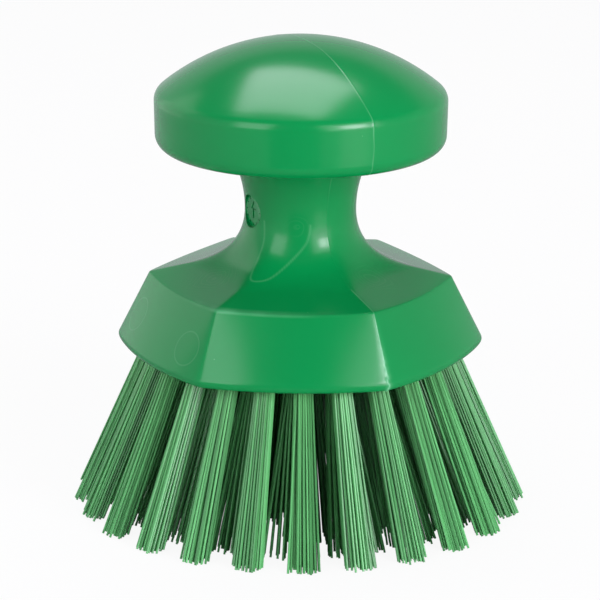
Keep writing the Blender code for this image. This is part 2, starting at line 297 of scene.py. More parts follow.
def knob_profile(form):
    """Dome, rim, band and underside of the knob, from below the pole to the foot of the fillet."""
    rise = KNOB_TOP_Z - knob_rim_z(form)
    dome_radius = (form.knob_radius ** 2 + rise ** 2) / (2 * rise)
    dome_angle = math.asin(form.knob_radius / dome_radius)
    rim = Vector((form.knob_radius, knob_rim_z(form)))
    band_foot = Vector((form.knob_radius - form.knob_draft, knob_bottom_z(form)))
    neck_top = Vector((form.neck_top_radius, knob_bottom_z(form)))
    reach = form.knob_rim_round * math.tan((math.pi / 2 - dome_angle) / 2)
    dome_end = dome_angle - reach / dome_radius
    dome = []
    for step in range(1, DOME_STEPS + 1):
        turn = dome_end * step / DOME_STEPS
        from_pole = Vector((math.sin(turn), math.cos(turn) - 1)) * dome_radius
        dome.append(Vector((0, KNOB_TOP_Z)) + from_pole)
    upper = rounded(dome[-2], rim, band_foot, form.knob_rim_round, ROUND_STEPS)
    lower = rounded(rim, band_foot, neck_top, form.knob_lower_round, ROUND_STEPS)
    band = between(upper[-1], lower[0], BAND_STEPS)
    return dome[:-2] + upper + band + lower


def neck_profile(form):
    """Overhang under the knob, fillet, flare and waist: an arc whose lowest point is upright."""
    flare_run = form.neck_top_radius - form.waist_radius
    flare_radius = (flare_run ** 2 + form.knob_above_waist ** 2) / (2 * flare_run)
    flare_angle = math.asin(form.knob_above_waist / flare_radius)
    flare = []
    for step in range(NECK_STEPS + 1):
        turn = flare_angle * (1 - step / NECK_STEPS)
        run = form.waist_radius + flare_radius * (1 - math.cos(turn))
        flare.append(Vector((run, waist_z(form) + flare_radius * math.sin(turn))))
    under_knob = Vector((form.knob_radius, knob_bottom_z(form)))
    down_flare = flare[NECK_STEPS // 6]
    fillet = rounded(under_knob, flare[0], down_flare, form.neck_top_fillet, FILLET_STEPS)
    overhang = between(knob_profile(form)[-1], fillet[0], OVERHANG_STEPS)
    flare_start = fillet[-1].y - LEAST_LEVEL_STEP
    return overhang + fillet + [point for point in flare if point.y < flare_start]


def outline_radius(form, corner_radius, bulge, from_corner, softer=0.0):
    """Radius of a six-sided outline with bowed sides, at an angle from one of its soft corners."""
    softness = form.corner_softness + softer
    softened = math.hypot(from_corner, softness) - softness
    widest = math.hypot(HALF_SECTOR, softness) - softness
    from_face = HALF_SECTOR * (1 - softened / widest)
    straight = math.cos(HALF_SECTOR) / math.cos(from_face)
    return corner_radius * (straight + (1 - straight) * bulge)


def facet_climb(form, from_corner):
    """Rise of a shoulder facet for each unit of run towards the axis."""
    return math.tan(form.ridge_slope) * math.cos(HALF_SECTOR - from_corner) / math.cos(HALF_SECTOR)


def upper_edge(form, from_corner):
    """The bowed sides meet the flat facets a little lower than the corners do."""
    radius = outline_radius(form, form.head_upper_radius, form.upper_bulge, from_corner)
    straight = outline_radius(form, form.head_upper_radius, 0, from_corner)
    return Vector((radius, head_top_z(form) - (radius - straight) * facet_climb(form, from_corner)))


def facet_end(form, from_corner, softer=0.0):
    """Where a flat facet starts to sweep up into the neck: a level line across it."""
    corner_radius = form.head_upper_radius - form.ridge_straight * math.cos(form.ridge_slope)
    radius = outline_radius(form, corner_radius, 0, from_corner, softer)
    return Vector((radius, head_top_z(form) + form.ridge_straight * math.sin(form.ridge_slope)))


def shoulder_point(form, from_corner, t):
    """Point on the sweep from the waist, at t 0, down to a flat facet or a ridge, at t 1.

    The ridges fade into the neck as they rise.
    """
    waist = Vector((form.waist_radius, waist_z(form)))
    foot = facet_end(form, from_corner, form.ridge_fade * (1 - t))
    inward = Vector((-1, facet_climb(form, from_corner)))
    upper_handle = waist - Vector((0, (waist.y - foot.y) * form.neck_sweep))
    lower_handle = foot + inward * ((foot.x - waist.x) * form.ridge_sweep)
    return (
        waist * (1 - t) ** 3
        + upper_handle * (3 * t * (1 - t) ** 2)
        + lower_handle * (3 * t ** 2 * (1 - t))
        + foot * t ** 3
    )


@functools.lru_cache(maxsize=None)
def head_profile(form, from_corner):
    """Facet, upper edge, drafted side and rounded lower edge of the head."""
    upper_corner = upper_edge(form, from_corner)
    lower_radius = outline_radius(
        form, form.head_lower_radius, form.lower_bulge, from_corner, form.side_softness,
    )
    lower_corner = Vector((lower_radius, UNDERSIDE_Z))
    axis_foot = Vector((0, UNDERSIDE_Z))
    foot = facet_end(form, from_corner)
    upper = rounded(foot, upper_corner, lower_corner, form.head_upper_round, EDGE_STEPS)
    lower = rounded(upper_corner, lower_corner, axis_foot, form.head_lower_round, ROUND_STEPS)
    facet = between(foot, upper[0], FACET_STEPS)
    side = between(upper[-1], lower[0], SIDE_STEPS)
    return facet + upper + side + lower


# Block: a loft through level sections, closed by the pole and the drilled underside

PARTING_CORNERS = (2, 5)

# Guard columns stand this many half widths of the bead from its crest, but never farther out than
# these shares of the step to the next column
GUARD_REACHES = (0.6, 1.2, 2.0)
GUARD_LIMIT_SHARES = (0.25, 0.5, 0.75)

# Sway of the parting line round the knob's band, as a share of its drift, and its lane of the noise
MEAN_SWAY_SHARE = 0.6
DRIFT_LANE = 0.3

# Height of the bead, in shares of its full height: its mean, its slow and its fine unevenness
MEAN_RISE_SHARE = 0.7
SLOW_RISE_SHARE = 0.7
FINE_RISE_SHARE = 0.5
LEAST_RISE_SHARE = 0.15

# Paleness of the bead above the head's side (whitened plastic with a painted highlight), of the
# painted highlight beside the line, and of that painted highlight's extra at the line's torn foot
BEAD_PALE_SHARE = 0.34
MEAN_BEAD_SHARE = 0.75
HALO_HIGHLIGHT_SHARE = 0.1
RAGGED_HIGHLIGHT_SHARE = 0.25

# Painted highlight along the head's upper edge: patches to a radian, and its mean paleness
EDGE_HIGHLIGHT_PATCHES = 6
MEAN_EDGE_HIGHLIGHT_SHARE = 0.8


def column_turns(form, radius, crowd):
    """Azimuths of the columns at one level, and how far each is from its nearest corner.

    The columns crowd at the head's corners. Guard columns beside a parting line shape its bead.
    """
    turns = []
    for corner in range(HEAD_CORNERS):
        steps = []
        for column in range(COLUMNS_PER_SECTOR):
            even = column / COLUMNS_PER_SECTOR
            drawn = even - CORNER_CROWDING * math.sin(math.tau * even) / math.tau
            steps.append(SECTOR * (even + (drawn - even) * crowd))
        guards = [
            min(form.bead_width * reach / radius, limit * steps[1])
            for reach, limit in zip(GUARD_REACHES, GUARD_LIMIT_SHARES)
        ]
        if corner in PARTING_CORNERS:
            steps[1:1] = guards
        if (corner + 1) % HEAD_CORNERS in PARTING_CORNERS:
            steps += [SECTOR - guard for guard in reversed(guards)]
        turns += [(corner * SECTOR + step, min(step, SECTOR - step)) for step in steps]
    return turns


def from_parting(azimuth):
    """Signed turn from the nearest parting corner."""
    turns = [math.remainder(azimuth - corner * SECTOR, math.tau) for corner in PARTING_CORNERS]
    return min(turns, key=abs)


def raggedness(form, height):
    """How ragged the parting line is: 1 in the head's lowest third, fading to 0 at two thirds."""
    return min(1.0, max(0.0, 2 - 3 * (height - UNDERSIDE_Z) / form.head_height))


def side_show(form, height):
    """1 down the side of the head, fading to 0 over its highest sixth."""
    return min(1.0, max(0.0, 6 * (head_top_z(form) - height) / form.head_height))


def uneven(azimuth, height, grain, lane):
    """Noise down one half of the parting line, where each lane has its own: about -1 to 1."""
    return noise.noise(Vector((azimuth // math.pi, lane, height / grain)))


def parting_drift(form, azimuth, height):
    """Turn by which the columns near the parting line stray round the knob's band."""
    middle = (knob_bottom_z(form) + knob_rim_z(form)) / 2
    lift = math.exp(-((height - middle) / (form.knob_band / 2)) ** 2)
    lane = (DRIFT_LANE, azimuth // math.pi, height / form.drift_length)
    sway = MEAN_SWAY_SHARE + noise.noise(Vector(lane))
    near = math.exp(-(from_parting(azimuth) / form.drift_reach) ** 2)
    return form.drift * lift * sway * near / form.knob_radius


def edge_highlight_paleness(form, azimuth):
    """How pale the painted highlight along the head's upper edge is."""
    patchy = MEAN_EDGE_HIGHLIGHT_SHARE + noise.noise(Vector((EDGE_HIGHLIGHT_PATCHES * azimuth, 0, 4)))
    return form.wear * patchy * math.exp(-((azimuth - form.edge_highlight_azimuth) / form.edge_highlight_reach) ** 2)


def parting_weights(form, azimuth, radius, height):
    """How near a point is to the crest of the bead, and to the painted highlight beside it: 1 to 0.

    The crest strays in its ragged foot.
    """
    ragged = raggedness(form, height)
    stray = ragged * form.flash_stray * uneven(azimuth, height, form.flash_grain, lane=3)
    off = from_parting(azimuth) * radius - stray
    crest = math.exp(-(off / (form.bead_width * (1 + ragged))) ** 2)
    return crest, math.exp(-(off / form.highlight_halo_reach) ** 2)


def bead_rise(form, azimuth, height):
    """Height of the bead's crest: uneven along the line, with torn flash at its foot."""
    fine = uneven(azimuth, height, form.flash_grain, lane=0)
    slow = uneven(azimuth, height, form.drift_length, lane=1)
    rise_share = MEAN_RISE_SHARE + SLOW_RISE_SHARE * slow + FINE_RISE_SHARE * fine
    rise = form.bead_height * max(LEAST_RISE_SHARE, rise_share)
    return rise + form.flash_height * raggedness(form, height) * max(0.0, fine)


def halo_highlight(form, height):
    """How strong the painted highlight beside the flash is: most at the ragged foot of the head's
    side.
    """
    ragged = RAGGED_HIGHLIGHT_SHARE * raggedness(form, height)
    return side_show(form, height) * (HALO_HIGHLIGHT_SHARE + ragged)


def bead_whitening_and_highlight(form, azimuth, height):
    """How pale the bead is, from whitened plastic and a painted highlight: all but gone round the
    waist and whitest down the head's side.
    """
    far = min(1.0, abs(height - waist_z(form)) / form.knob_above_waist)
    patchy = MEAN_BEAD_SHARE + uneven(azimuth, height, form.drift_length, lane=5)
    pale = BEAD_PALE_SHARE * patchy
    return far ** 2 * (pale + (1 - pale) * side_show(form, height))


def with_parting_line(form, azimuth, point, outward):
    """A point of the skin, raised and swayed by the parting line, and how pale the line's whitened
    plastic and painted highlights make it.
    """
    crest, halo = parting_weights(form, azimuth, point.x, point.y)
    # Paleness of the bead, partly a painted highlight, and of the painted highlight beside it
    pale = max(crest * bead_whitening_and_highlight(form, azimuth, point.y), halo * halo_highlight(form, point.y))
    raised = point + outward * (crest * bead_rise(form, azimuth, point.y))
    azimuth += parting_drift(form, azimuth, raised.y)
    return around(raised.x, azimuth, raised.y), pale


def block_sections(form):
    """Sections of the block from top to bottom, each a ring of points, and how pale they are."""
    turned = knob_profile(form) + neck_profile(form)
    sweep = [step / SHOULDER_STEPS for step in range(1, SHOULDER_STEPS + 1)]
    corner_line = turned + [shoulder_point(form, 0, t) for t in sweep] + head_profile(form, 0)
    crowding = [0.0] * len(turned) + sweep + [1.0] * len(head_profile(form, 0))
    head_start = len(turned) + len(sweep)
    edge_start = head_start + FACET_STEPS - 1
    edge = range(edge_start, edge_start + EDGE_STEPS + 1)
    sections = []
    paleness = []
    for level, crowd in enumerate(crowding):
        before = corner_line[max(level - 1, 0)]
        after = corner_line[min(level + 1, len(corner_line) - 1)]
        outward = Vector((before.y - after.y, after.x - before.x)).normalized()
        section = []
        for azimuth, from_corner in column_turns(form, corner_line[level].x, crowd):
            if level < len(turned):
                point = turned[level]
            elif level < head_start:
                point = shoulder_point(form, from_corner, crowd)
            else:
                point = head_profile(form, from_corner)[level - head_start]
            place, pale = with_parting_line(form, azimuth, point, outward)
            section.append(place)
            # The head's upper edge takes the painted highlight
            paleness.append(max(pale, edge_highlight_paleness(form, azimuth)) if level in edge else pale)
        sections.append(section)
    return sections, paleness


def encloses(loop, point):
    """Whether a point lies inside a closed loop of points, by the sides found beyond it."""
    beyond = 0
    for start, end in zip(loop, loop[1:] + loop[:1]):
        if (start.y > point.y) != (end.y > point.y):
            across = start.x + (end.x - start.x) * (point.y - start.y) / (end.y - start.y)
            beyond += across > point.x
    return beyond % 2 == 1


# Kind of triangulation that keeps to the inside of the outlines
INSIDE_OUTLINES = 1


def fill_flat(bm, loops):
    """Triangles between an outer loop and the loops of its openings, all at one level."""
    verts = []
    owners = []
    edges = []
    outlines = []
    for owner, loop in enumerate(loops):
        first = len(verts)
        verts += loop
        owners += [owner] * len(loop)
        edges += [(first + index, first + (index + 1) % len(loop)) for index in range(len(loop))]
        outlines.append([vert.co.xy / MM for vert in loop])
    places = [place for outline in outlines for place in outline]
    _, _, faces, sources, _, _ = delaunay_2d_cdt(places, edges, [], INSIDE_OUTLINES, MM)
    for face in faces:
        corners = [sources[corner][0] for corner in face]
        owner = owners[corners[0]]
        middle = sum((places[corner] for corner in corners), Vector((0, 0))) / len(corners)
        one_loop = all(owners[corner] == owner for corner in corners)
        if owner == 0 or not one_loop or not encloses(outlines[owner], middle):
            bm.faces.new([verts[corner] for corner in corners])


def join_loops(bm, upper, lower):
    """Faces between two loops that have the same number of vertices."""
    for index in range(len(upper)):
        bm.faces.new((upper[index - 1], upper[index], lower[index], lower[index - 1]))


def closed_mesh(name, bm):
    """Mesh of a closed form, with its faces turned outwards."""
    bmesh.ops.recalc_face_normals(bm, faces=bm.faces)
    mesh = bpy.data.meshes.new(name)
    bm.to_mesh(mesh)
    bm.free()
    return mesh


def drill_hole(bm, tufts, ring, matrix):
    """A chamfered blind hole with a drill's cone at its end. Returns the loop at its mouth."""
    _, along, out, side = tuft_axes(tufts, ring)
    mouth = []
    throat = []
    floor = []
    for index in range(HOLE_SIDES):
        turn = math.tau * index / HOLE_SIDES
        spoke = out * math.cos(turn) + side * math.sin(turn)
        wide = spoke * (tufts.hole_radius + tufts.hole_chamfer)
        snug = spoke * tufts.hole_radius
        mouth.append(bm.verts.new(matrix @ (wide - along * (wide.z / along.z))))
        sunk = snug - along * (snug.z / along.z + tufts.hole_chamfer)
        throat.append(bm.verts.new(matrix @ sunk))
        floor.append(bm.verts.new(matrix @ (snug - along * tufts.hole_depth)))
    tip = bm.verts.new(matrix @ (-along * (tufts.hole_depth + tufts.hole_radius / 2)))
    join_loops(bm, mouth, throat)
    join_loops(bm, throat, floor)
    for index in range(HOLE_SIDES):
        bm.faces.new((floor[index - 1], floor[index], tip))
    return mouth


def loft_block(form, tufts):
    """The moulding with its bored underside, closed."""
    bm = bmesh.new()
    # Paleness of each point: the flow line and flash, and painted highlights along the parting line
    # and the head's upper edge
    stress_and_highlight = bm.verts.layers.float.new("stress_and_highlight")
    sections, paleness = block_sections(form)
    rings = [[bm.verts.new(point) for point in section] for section in sections]
    for vert, pale in zip([vert for ring in rings for vert in ring], paleness):
        vert[stress_and_highlight] = pale
    pole = bm.verts.new((0, 0, KNOB_TOP_Z))
    for index in range(len(rings[0])):
        bm.faces.new((pole, rings[0][index - 1], rings[0][index]))
    for above, below in zip(rings, rings[1:]):
        join_loops(bm, above, below)
    mouths = []
    for ring in range(len(TUFT_RING_NAMES)):
        mouths += [drill_hole(bm, tufts, ring, matrix) for matrix in ring_places(form, tufts, ring)]
    fill_flat(bm, [rings[-1]] + mouths)
    return closed_mesh("block_moulding", bm)


# A face whose normal points down this far belongs to the underside
LEVEL_NORMAL = -0.9999


def flatten_underside(mesh):
    """Shade the drilled underside flat, so that the mouths' chamfers don't shade it."""
    for face in mesh.polygons:
        if face.normal.z < LEVEL_NORMAL:
            face.use_smooth = False


# Date dial: half outline of its arrow and outline of a tick, in shares of its radius
ARROW_SHARES = ((0.09, -0.45), (0.09, 0.1), (0.3, 0.1), (0.0, 0.6))
TICK_SHARES = ((0.035, 0.74), (0.035, 0.9), (-0.035, 0.9), (-0.035, 0.74))
DIAL_TICKS = 12
DIAL_SIDES = 64
MARK_DEPTH = 0.22 * MM
CUTTER_LENGTH = 3 * MM


def arrow_outline(radius):
    """Outline of the dial's arrow, which points up."""
    right = [(x * radius, y * radius) for x, y in ARROW_SHARES]
    return right + [(-x, y) for x, y in reversed(right[:-1])]


def tick_outline(radius, turn):
    """Outline of one of the ticks round the dial."""
    spin = Matrix.Rotation(turn, 2)
    return [spin @ Vector((x * radius, y * radius)) for x, y in TICK_SHARES]


def dial_mesh(radius):
    """A short plug whose flat end carries the arrow and the ticks, as the mould's insert does."""
    outlines = [
        [around(radius, math.tau * side / DIAL_SIDES).xy for side in range(DIAL_SIDES)],
        arrow_outline(radius),
    ]
    outlines += [tick_outline(radius, math.tau * tick / DIAL_TICKS) for tick in range(DIAL_TICKS)]
    bm = bmesh.new()
    floor = [[bm.verts.new((x, y, 0)) for x, y in outline] for outline in outlines]
    fill_flat(bm, floor)
    for mark in floor[1:]:
        sunk = [bm.verts.new(vert.co - Vector((0, 0, MARK_DEPTH))) for vert in mark]
        join_loops(bm, mark, sunk)
        bm.faces.new(sunk)
    outside = [bm.verts.new(vert.co + Vector((0, 0, CUTTER_LENGTH))) for vert in floor[0]]
    join_loops(bm, floor[0], outside)
    bm.faces.new(outside)
    return closed_mesh("dial_cutter", bm)


def dial_cutter(form):
    """The plug in its place, with its flat end in the neck."""
    outward = around(1, form.dial_azimuth)
    across = Vector((0, 0, 1)).cross(outward)
    turn = Matrix((across, Vector((0, 0, 1)), outward)).transposed().to_4x4()
    centre = outward * (form.waist_radius - form.dial_depth)
    centre.z = waist_z(form) + form.dial_lift
    cutter = put_in_scene("dial_cutter", dial_mesh(form.dial_radius))
    cutter.matrix_world = Matrix.Translation(centre) @ turn
    return cutter


def press_dial(block, form):
    """Cut the date dial out of the neck and keep only the result."""
    cutter = dial_cutter(form)
    cut = block.modifiers.new("date dial", "BOOLEAN")
    cut.operation = "DIFFERENCE"
    cut.solver = "EXACT"
    cut.object = cutter
    graph = bpy.context.evaluated_depsgraph_get()
    shaped = block.evaluated_get(graph)
    mesh = bpy.data.meshes.new_from_object(shaped, preserve_all_data_layers=True, depsgraph=graph)
    if len(mesh.vertices) == len(block.data.vertices):
        raise RuntimeError("the date dial's cutter missed the neck")
    block.modifiers.clear()
    block.data = mesh
    bpy.data.objects.remove(cutter, do_unlink=True)


# Flow line on the front of the neck, as (azimuth in degrees, height in millimetres)
FLOW_LOOP = (
    (230.5, 76.5), (232.5, 71.5), (234.8, 67.0), (235.0, 63.7), (236.6, 61.1), (239.8, 59.7),
    (245.0, 59.4), (251.5, 59.9), (259.0, 61.8), (266.5, 63.8), (275.0, 66.1), (279.8, 68.0),
    (282.4, 71.4), (279.8, 75.5),
)
FLOW_STEPS = 24
FLOW_WIDTH = 0.24 * MM
FLOW_PALENESS = 0.22

# Skin that is paler than this already doesn't take the flow line
FLASH_PALENESS = 0.5


def flow_points(block):
    """Points every fifth of a millimetre or so along the flow line, on the block's skin."""
    skin = BVHTree.FromObject(block, bpy.context.evaluated_depsgraph_get())
    route = [Vector((math.radians(azimuth), height * MM)) for azimuth, height in FLOW_LOOP]
    points = []
    for index in range(1, len(route) - 2):
        before, start, end, after = route[index - 1:index + 3]
        for step in range(FLOW_STEPS):
            t = step / FLOW_STEPS
            place = (
                start * 2
                + (end - before) * t
                + (before * 2 - start * 5 + end * 4 - after) * t ** 2
                + (start * 3 - before - end * 3 + after) * t ** 3
            ) / 2
            hit = skin.ray_cast(Vector((0, 0, place.y)), around(1, place.x))[0]
            if hit is None:
                raise RuntimeError("the flow line misses the block")
            points.append(hit)
    return points


def stress_skin(block):
    """Mark the flow line in the point attribute that the plastic's paler colour follows."""
    points = flow_points(block)
    tree = kdtree.KDTree(len(points))
    for index, point in enumerate(points):
        tree.insert(point, index)
    tree.balance()
    low = min(point.z for point in points) - MM
    high = max(point.z for point in points) + MM
    stress_and_highlight = block.data.attributes["stress_and_highlight"].data
    for vert in block.data.vertices:
        if low < vert.co.z < high and stress_and_highlight[vert.index].value < FLASH_PALENESS:
            off = tree.find(vert.co)[2] / FLOW_WIDTH
            stress_and_highlight[vert.index].value = FLOW_PALENESS * math.exp(-off ** 2)


# Tufts: each is modelled in its ring's frame, from the mouth of the hole that stands on +X

# Rings from the outer to the inner: tufts, shares of the outer ring's radii, and share of a step
# that the first tuft is turned
TUFT_COUNTS = (25, 18, 11, 5)
RING_FOOT_SHARES = (1.0, 0.765, 0.53, 0.28)
RING_TIP_SHARES = (1.0, 0.83, 0.62, 0.36)
RING_TURN_SHARES = (0.0, 0.5, 0.5, 0.5)

# How many times wider than an outer tuft each ring's tufts fan out
RING_OUTWARD_FANS = (1.0, 1.35, 1.8, 2.4)
RING_SIDEWAYS_FANS = (1.0, 1.95, 1.8, 2.0)

# Where the first filament of an even and of an odd row stands, in pitches from the anchor
ROW_STARTS = (0.55, 1.05)
FILAMENT_SIDES = 6
FOLD_STEPS = 4

# No tip is cut higher than this many times the mean
MOST_TRIM = 6


def foot_radius(form, tufts, ring):
    """Radius of a ring of hole mouths, measured in from the middle of the head's drafted faces."""
    lower_radius = outline_radius(form, form.head_lower_radius, form.lower_bulge, HALF_SECTOR)
    upper_radius = outline_radius(form, form.head_upper_radius, form.upper_bulge, HALF_SECTOR)
    return ((lower_radius + upper_radius) / 2 - tufts.face_to_outer) * RING_FOOT_SHARES[ring]


def tip_radius(form, tufts, ring):
    """Radius of a ring of tuft tips."""
    inset = tufts.tip_inset
    lean = math.atan2(tufts.spread_radius - inset - foot_radius(form, tufts, 0), UNDERSIDE_Z)
    return (tufts.spread_radius - inset / math.cos(lean)) * RING_TIP_SHARES[ring]


def tuft_axes(tufts, ring):
    """Tip of a tuft's centre line, its direction, and the two directions square to it."""
    form = bpy.context.scene.scrub_brush_block
    tip = Vector((tip_radius(form, tufts, ring) - foot_radius(form, tufts, ring), 0, -UNDERSIDE_Z))
    along = tip.normalized()
    side = Vector((0, 1, 0))
    out = side.cross(along)
    if out.x < 0:
        out.negate()
    return tip, along, out, side


def ring_places(form, tufts, ring):
    """Where each tuft of a ring stands, as a matrix from its hole's mouth to the brush."""
    count = TUFT_COUNTS[ring]
    for index in range(count):
        turn = Matrix.Rotation(math.tau * (index + RING_TURN_SHARES[ring]) / count, 4, "Z")
        yield turn @ Matrix.Translation((foot_radius(form, tufts, ring), 0, UNDERSIDE_Z))


def pack_radius(tufts):
    """Radius within which the filaments' middles stand in a hole."""
    return tufts.hole_radius - tufts.clearance - tufts.filament_radius


def fold_places(tufts):
    """Where the folded filaments stand in a hole: rows on one side of the anchor, for both sides."""
    reach = pack_radius(tufts)
    pitch = tufts.filament_pitch
    row_height = pitch * math.sqrt(3) / 2
    rows = int(reach / row_height)
    places = []
    for row in range(-rows, rows + 1):
        across = pitch * ROW_STARTS[row % 2]
        while math.hypot(across, row * row_height) < reach:
            places.append((across, row * row_height))
            across += pitch
    return places


def tuft_leg(tufts, ring, draw, across, beside):
    """Path of one end of a filament, from its cut tip up to the start of its fold."""
    tip, along, out, side = tuft_axes(tufts, ring)
    foot = out * across + side * beside
    stray = tufts.loose_stray if draw.random() < tufts.loose_share else tufts.tip_stray
    reach = pack_radius(tufts)
    outward = across / reach * tufts.tip_out * RING_OUTWARD_FANS[ring]
    outward += draw.gauss(0, tufts.tip_stray)
    sideways = beside / reach * tufts.tip_side * RING_SIDEWAYS_FANS[ring]
    sideways += draw.gauss(0, stray)
    aim = tip + out * outward + side * sideways
    run = (aim - foot).normalized()
    trim = min(max(draw.gauss(tufts.trim, tufts.trim_spread), 0.0), MOST_TRIM * tufts.trim)
    cut = foot + run * ((trim - UNDERSIDE_Z - foot.z) / run.z)
    bend = out * draw.gauss(0, tufts.bow) + side * draw.gauss(0, tufts.bow)
    middle = (foot + cut) / 2 + bend
    fold_depth = tufts.hole_depth - tufts.hole_radius
    return [cut, middle, foot, foot - along * fold_depth]


def fold_path(tufts, ring, draw, across, beside):
    """Path of a whole filament: down one leg, round the fold in its hole and out along the other."""
    _, along, out, side = tuft_axes(tufts, ring)
    first = tuft_leg(tufts, ring, draw, across, beside)
    second = tuft_leg(tufts, ring, draw, -across, beside)
    centre = (first[-1] + second[-1]) / 2
    fold = []
    for step in range(1, FOLD_STEPS):
        turn = math.pi * step / FOLD_STEPS
        fold.append(centre + across * (out * math.cos(turn) - along * math.sin(turn)))
    return first + fold + second[::-1]


def sweep_filament(verts, faces, path, radius, side):
    """A round filament along a path, with flat cut ends."""
    start = len(verts)
    for index, point in enumerate(path):
        ahead = (path[min(index + 1, len(path) - 1)] - path[max(index - 1, 0)]).normalized()
        across = (side - ahead * side.dot(ahead)).normalized()
        square = ahead.cross(across)
        for corner in range(FILAMENT_SIDES):
            turn = math.tau * corner / FILAMENT_SIDES
            verts.append(point + (across * math.cos(turn) + square * math.sin(turn)) * radius)
    for ring in range(start, len(verts) - FILAMENT_SIDES, FILAMENT_SIDES):
        for corner in range(FILAMENT_SIDES):
            beside = (corner + 1) % FILAMENT_SIDES
            faces.append((ring + corner, ring + beside,
                          ring + FILAMENT_SIDES + beside, ring + FILAMENT_SIDES + corner))
    faces.append(tuple(range(start, start + FILAMENT_SIDES))[::-1])
    faces.append(tuple(range(len(verts) - FILAMENT_SIDES, len(verts))))


def make_tuft(name, tufts, ring, matrix, draw, material):
    """One tuft of folded filaments, each with a tone of its own."""
    verts = []
    faces = []
    tones = []
    side = tuft_axes(tufts, ring)[3]
    for across, beside in fold_places(tufts):
        path = fold_path(tufts, ring, draw, across, beside)
        sweep_filament(verts, faces, path, tufts.filament_radius, side)
        tones += [draw.random()] * (len(verts) - len(tones))
    mesh = bpy.data.meshes.new(name)
    mesh.from_pydata([matrix @ vert for vert in verts], [], faces)
    mesh.attributes.new("tone", "FLOAT", "POINT").data.foreach_set("value", tones)
    finish_mesh(mesh, material)
    return show_piece(name, mesh)


def finish_mesh(mesh, material):
    """Give a mesh its one material and smooth shading between its sharp edges."""
    mesh.validate()
    mesh.materials.clear()
    mesh.materials.append(material)
    mesh.shade_smooth()
    mesh.set_sharp_from_angle(angle=SHARP_ANGLE)


def show_piece(name, mesh):
    """Place a mesh in the scene as a piece that rides on the brush."""
    piece = put_in_scene(name, mesh)
    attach(piece, BODY)
    return piece


# Materials

class Nodes:
    """A node tree, with short calls that add a node and return it or one of its outputs."""

    def __init__(self, tree):
        self.tree = tree

    def feed(self, node, inputs):
        """Link the sockets among some inputs, and set the others to plain values."""
        for name, value in inputs.items():
            if isinstance(value, bpy.types.NodeSocket):
                self.tree.links.new(value, node.inputs[name])
            else:
                node.inputs[name].default_value = value

    def new(self, kind, inputs=None, **settings):
        node = self.tree.nodes.new(kind)
        for name, value in settings.items():
            setattr(node, name, value)
        self.feed(node, inputs or {})
        return node

    def add(self, kind, output, inputs=None, **settings):
        return self.new(kind, inputs, **settings).outputs[output]

    def compute(self, operation, *values):
        return self.add("ShaderNodeMath", 0, dict(enumerate(values)), operation=operation)

    def vector(self, output, operation, *values):
        """Vector or plain value that comes from vectors."""
        return self.add("ShaderNodeVectorMath", output, dict(enumerate(values)), operation=operation)

    def strongest(self, *values):
        """The largest of several values."""
        return functools.reduce(functools.partial(self.compute, "MAXIMUM"), values)

    def spread(self, value, middle, span):
        """A measure that goes across its span as a value goes from 0 to 1."""
        return self.compute("MULTIPLY_ADD", value, span, middle - span / 2)

    def ramp(self, value, low, high):
        """0 to 1, with soft ends, as a value goes from low to high."""
        inputs = {"Value": value, "From Min": low, "From Max": high}
        return self.add("ShaderNodeMapRange", 0, inputs, interpolation_type="SMOOTHSTEP")

    def grain(self, place, scale, detail=2.0, distortion=0.0):
        """Cloudy noise from 0 to 1, with about this many clouds to a metre."""
        inputs = {"Vector": place, "Scale": scale, "Detail": detail, "Distortion": distortion}
        return self.add("ShaderNodeTexNoise", "Fac", inputs)

    def blend(self, factor, first, second):
        """Colour between two others."""
        return self.add("ShaderNodeMix", 2, {0: factor, 6: first, 7: second}, data_type="RGBA")


def new_material(name):
    """A material, its nodes and its shader."""
    material = bpy.data.materials.new(name)
    material.use_nodes = True
    return material, Nodes(material.node_tree), material.node_tree.nodes["Principled BSDF"]


def opaque(rgb):
    return (rgb[0], rgb[1], rgb[2], 1.0)


# Insert circles and whorls, as (azimuth in degrees, height in millimetres, radius in millimetres)
CIRCLES = ((231.0, 46.2, 4.1), (190.5, 47.1, 4.2))
WHORLS = ((213.0, 57.0, 10.0), (270.5, 71.0, 3.6), (324.0, 58.3, 8.0))
CIRCLE_WIDTH = 0.3 * MM
WHORL_WARP = 9 * MM
WHORL_PITCH = 1.4 * MM
WHORL_CORE_SHARE = 0.3


def face_point(form, azimuth, height):
    """Point on the drafted side of the head."""
    lower = outline_radius(form, form.head_lower_radius, form.lower_bulge, corner_turn(azimuth))
    upper = upper_edge(form, corner_turn(azimuth))
    radius = lower + (upper.x - lower) * (height - UNDERSIDE_Z) / (upper.y - UNDERSIDE_Z)
    return around(radius, azimuth, height)


def neck_point(form, azimuth, height):
    """Point near the skin of the neck or of a shoulder's facet."""
    steps = range(SHOULDER_STEPS + 1)
    line = [shoulder_point(form, corner_turn(azimuth), step / SHOULDER_STEPS) for step in steps]
    radius = min(neck_profile(form) + line, key=lambda point: abs(point.y - height)).x
    return around(radius, azimuth, height)


def insert_circle(nodes, place, centre, radius):
    """A faint circle round a point of the skin, where an insert of the mould met the plastic."""
    away = nodes.vector("Value", "DISTANCE", place, centre)
    off = nodes.compute("ABSOLUTE", nodes.compute("SUBTRACT", away, radius))
    return nodes.ramp(off, CIRCLE_WIDTH, 0.0)


def insert_circles(nodes, form, place):
    """Both insert circles on the head's side."""
    return nodes.strongest(*[
        insert_circle(nodes, place, face_point(form, math.radians(turn), height * MM), radius * MM)
        for turn, height, radius in CIRCLES
    ])


